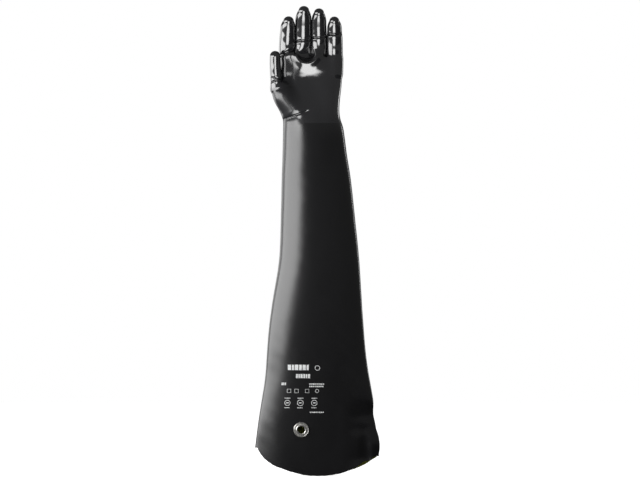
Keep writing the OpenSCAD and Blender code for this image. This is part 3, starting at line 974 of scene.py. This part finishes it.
spread, knuckle, tip = (joint_at[f"thumb_{part}"] for part in ("spread", "knuckle", "tip"))
u2, u3 = unit(tip - knuckle), unit(thumb_free.p[-1] - tip)
bend3 = unit(u2 + u3)
CUT_THUMB_BASE = (spread[2] + knuckle[2]) / 2 + 0.5
digit(
    thumb_distance, thumb_free,
    [((0, 0, CUT_THUMB), UP), ((0, 0, CUT_THUMB_BASE), UP), (knuckle + 12.5 * u2, u2)],
    [
        ((*spread[:2], CUT_THUMB + 0.2), (*spread[:2], CUT_THUMB_BASE - 0.2)),
        ((*knuckle[:2], CUT_THUMB_BASE + 0.2), (*knuckle[:2], CUT_THUMB_BASE + 13.5)),
        (tip - 6.5 * bend3, tip + 6.5 * bend3),
    ],
    [
        ("hand", "thumb_base", ["thumb_base", "thumb_spread_fold"], ["thumb_base_liner"]),
        ("thumb_base", "thumb_middle", ["thumb_middle", "thumb_knuckle_fold"], ["thumb_middle_liner"]),
        ("thumb_middle", "thumb_tip", ["thumb_tip", "thumb_tip_fold"], ["thumb_tip_liner"]),
    ],
)

# ---------------------------------------------------------------- the eyelet, kept from the CAD

for name in ("eyelet_barrel", "eyelet_washer"):
    cad = frame["nodes"][name]
    for s in cad.material_slots:
        s.material = eyelet_metal

# ---------------------------------------------------------------- plain printed marks above the eyelet

INK = 0.06          # how far the ink stands out from the rubber
INK_SUNK = 0.04     # how far it reaches into the rubber
marks = []


def mark(outline, hole=None):
    """A flat shape in the sleeve's front, given as (x, z) points, as a thin closed plate on the surface."""
    marks.append((outline, hole))


def bar(x, z, width, height):
    return [(x, z), (x + width, z), (x + width, z + height), (x, z + height)]


def ring(x, z, r, sides, turn=0.0):
    return [
        (x + r * math.cos(turn + 2 * math.pi * k / sides), z + r * math.sin(turn + 2 * math.pi * k / sides))
        for k in range(sides)
    ]


def blocks(x, z, width, height, widths, gap_x):
    """A row of plain blocks of the given widths, repeated until the row is full."""
    at, k = x, 0
    while True:
        w = widths[k % len(widths)]
        if at + w > x + width:
            return
        mark(bar(at, z, w, height))
        at += w + gap_x
        k += 1


def outlined(shape, centre, line):
    """A shape's outline, line millimetres wide."""
    inner = []
    for x, z in shape:
        dx, dz = x - centre[0], z - centre[1]
        size = math.hypot(dx, dz)
        inner.append((x - dx / size * line, z - dz / size * line))
    mark(shape, inner)


ex, ez = eyelet_at[0], eyelet_at[2]
blocks(ex - 22.5, ez + 100, 42, 9.0, (5.5, 3.5, 6.0, 4.5), 1.3)
outlined(ring(ex + 27, ez + 103.5, 4.4, 24), (ex + 27, ez + 103.5), 0.9)
blocks(ex - 9, ez + 86.5, 24, 7.0, (3.2, 2.4, 3.8), 1.0)
blocks(ex - 33, ez + 74.5, 9, 4.5, (2.0, 1.6), 0.8)
blocks(ex + 13.5, ez + 75.5, 26, 2.2, (2.6, 1.7, 3.1, 2.1), 0.8)
blocks(ex + 13.5, ez + 71.5, 24, 2.2, (1.8, 2.7, 2.2), 0.8)
for x, sides, turn in ((-20.5, 4, 0.785), (-8.0, 4, 0.785), (9.8, 4, 0.785), (26.5, 20, 0.0)):
    outlined(ring(ex + x, ez + 65, 4.6 if sides == 4 else 3.2, sides, turn), (ex + x, ez + 65), 0.7)
for x, sides, turn in ((-23.3, 6, 0.0), (-1.6, 24, 0.0), (21.8, 8, 0.39)):
    outlined(ring(ex + x, ez + 45, 5.3, sides, turn), (ex + x, ez + 45), 0.8)
    mark(bar(ex + x - 2.2, ez + 44.2, 4.4, 1.6))
    blocks(ex + x - 4.5, ez + 52.2, 9.5, 1.3, (1.6, 1.1, 2.0), 0.5)
    blocks(ex + x - 5, ez + 36.2, 10.5, 1.2, (2.1, 1.3), 0.5)
blocks(ex + 14.5, ez + 28.2, 24, 2.0, (2.4, 1.6, 2.9), 0.8)


def marks_mesh():
    """All marks as one mesh of thin plates that follow the sleeve."""
    points, faces = [], []
    for outline, hole in marks:
        count = len(outline)
        loops = [outline, hole] if hole else [outline]
        first = len(points)
        for loop in loops:
            points.extend((x, -25.0, z) for x, z in loop)
        if hole:
            for k in range(count):
                j = (k + 1) % count
                faces.append([first + k, first + j, first + count + j, first + count + k])
        else:
            faces.append([first + k for k in range(count)])
    return np.array(points), faces


def finer(points, faces, size):
    """Splits long edges so that the marks follow the sleeve's curve."""
    bm = to_bmesh(points, faces)
    for _ in range(4):
        long = [e for e in bm.edges if e.calc_length() > size]
        if not long:
            break
        bmesh.ops.subdivide_edges(bm, edges=long, cuts=1, use_grid_fill=True)
    bmesh.ops.triangulate(bm, faces=[face for face in bm.faces if len(face.verts) > 4])
    out = arrays(bm)
    bm.free()
    return out


def on_front(p):
    """Moves points straight back or forth onto the sleeve's front."""
    p = p.copy()
    for _ in range(12):
        g = gradient(palm_distance, p)
        p[:, 1] -= np.clip(palm_distance(p) / np.minimum(g[:, 1], -0.3), -4, 4)
    return p


mark_points, mark_faces = finer(*marks_mesh(), 3.0)
mark_points = on_front(mark_points)
mark_normals = gradient(palm_distance, mark_points)
mark_normals /= np.linalg.norm(mark_normals, axis=1)[:, None]
print_obj = shell("printed_marks", mark_points, mark_faces, mark_normals, -INK, INK + INK_SUNK, printed_marks)
both = np.concatenate([mark_points, mark_points])
print_obj.data.attributes.new("rest", "FLOAT_VECTOR", "POINT").data.foreach_set("vector", (both * MM).ravel())
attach(print_obj, "upper_sleeve")

# ---------------------------------------------------------------- floor, light and camera

PICTURE_WIDTH = 1.077       # metres across the picture at the glove
CAMERA_AWAY = 5.0
LOOK_AT = (0.0084, 0, 0.396)
scene = bpy.context.scene
centre = Vector(home) * MM + Vector(LOOK_AT)


def floor_material():
    mat, tree, shader = nodes_for("floor")
    grain = node(tree, "ShaderNodeTexNoise", Scale=60.0, Detail=4.0)
    spot = tree.nodes.new("ShaderNodeTexCoord")
    link(tree, spot.outputs["Object"], grain.inputs["Vector"])
    ramp = tree.nodes.new("ShaderNodeValToRGB")
    ramp.color_ramp.elements[0].color = (0.86, 0.86, 0.86, 1)
    ramp.color_ramp.elements[1].color = (0.9, 0.9, 0.9, 1)
    link(tree, grain.outputs["Fac"], ramp.inputs["Fac"])
    path = tree.nodes.new("ShaderNodeLightPath")
    # the rubber would mirror the pale floor, which a studio hides behind black card
    seen = tree.nodes.new("ShaderNodeVectorMath")
    seen.operation = "SCALE"
    link(tree, ramp.outputs["Color"], seen.inputs[0])
    link(tree, ranged(tree, path.outputs["Is Camera Ray"], 0.12, 1.0), seen.inputs["Scale"])
    link(tree, seen.outputs["Vector"], shader.inputs["Base Color"])
    shader.inputs["Roughness"].default_value = 0.8
    glow = ranged(tree, path.outputs["Is Camera Ray"], 0.0, 0.9)
    link(tree, glow, shader.inputs["Emission Strength"])
    shader.inputs["Emission Color"].default_value = (1, 1, 1, 1)
    return mat


def add_floor():
    mesh = bpy.data.meshes.new("floor")
    w, z = 2.2, -0.0006
    mesh.from_pydata([(-w, -w, z), (w, -w, z), (w, w, z), (-w, w, z)], [], [(0, 1, 2, 3)])
    mesh.materials.append(floor_material())
    obj = bpy.data.objects.new("floor", mesh)
    scene.collection.objects.link(obj)


def add_softbox(name, place, aim, width, height, radiance, soft):
    """A light with soft edges, given from the glove's middle; soft is the share of a side that fades."""
    light = bpy.data.lights.new(name, "AREA")
    light.shape = "RECTANGLE"
    light.size, light.size_y = width, height
    light.energy = radiance * math.pi * width * height
    light.use_nodes = True
    tree = light.node_tree
    split = tree.nodes.new("ShaderNodeSeparateXYZ")
    link(tree, tree.nodes.new("ShaderNodeNewGeometry").outputs["Parametric"], split.inputs[0])
    fades = []
    for axis in "XY":
        edge = tree.nodes.new("ShaderNodeMath")
        edge.operation = "PINGPONG"
        edge.inputs[1].default_value = 0.5
        link(tree, split.outputs[axis], edge.inputs[0])
        fade = node(tree, "ShaderNodeMapRange")
        fade.interpolation_type = "SMOOTHSTEP"
        fade.inputs["From Max"].default_value = soft
        link(tree, edge.outputs[0], fade.inputs["Value"])
        fades.append(fade.outputs["Result"])
    both = tree.nodes.new("ShaderNodeMath")
    both.operation = "MULTIPLY"
    for fade, socket in zip(fades, both.inputs):
        link(tree, fade, socket)
    link(tree, both.outputs[0], tree.nodes["Emission"].inputs["Strength"])
    obj = bpy.data.objects.new(name, light)
    obj.location = Vector((centre.x + place[0], centre.y + place[1], place[2]))
    away = Vector(place) - Vector(aim)
    obj.rotation_euler = away.to_track_quat("Z", "Y").to_euler()
    obj.visible_camera = False
    scene.collection.objects.link(obj)
    return obj


def set_world():
    world = bpy.data.worlds.new("studio")
    world.use_nodes = True
    tree = world.node_tree
    back = tree.nodes["Background"]
    path = tree.nodes.new("ShaderNodeLightPath")
    link(tree, ranged(tree, path.outputs["Is Camera Ray"], 0.2, 1.0), back.inputs["Strength"])
    back.inputs["Color"].default_value = (1, 1, 1, 1)
    scene.world = world


add_floor()
set_world()
add_softbox("left_box", (-1.32, -0.7, 0.5), (0, 0, 0.5), 2.5, 1.0, 8.0, 0.2)
add_softbox("left_back_box", (-1.3, 0.9, 0.5), (0, 0, 0.5), 1.6, 1.0, 2.5, 0.2)
add_softbox("right_box", (1.4, 0.9, 0.6), (0, 0, 0.6), 0.3, 1.1, 5.0, 0.3)
low_box = add_softbox("low_box", (-0.06, -0.675, 0.295), (-0.06, -0.085, 1.1), 0.5, 0.93, 9.0, 0.2)
# the low light reaches the hand only, as if a card kept it off the sleeve
hand_lit = bpy.data.collections.new("hand_lit")
for obj in scene.objects:
    if obj.name.endswith("_coat") and "sleeve" not in obj.name:
        hand_lit.objects.link(obj)
low_box.light_linking.receiver_collection = hand_lit

camera = bpy.data.cameras.new("camera")
camera.sensor_width = 36.0
camera_obj = bpy.data.objects.new("camera", camera)
camera.lens = camera.sensor_width * CAMERA_AWAY / PICTURE_WIDTH
camera.clip_end = 50
camera_obj.location = centre + Vector((0, -CAMERA_AWAY, 0))
camera_obj.rotation_euler = (math.pi / 2, 0, 0)
scene.collection.objects.link(camera_obj)
scene.camera = camera_obj
scene.view_settings.view_transform = "Standard"
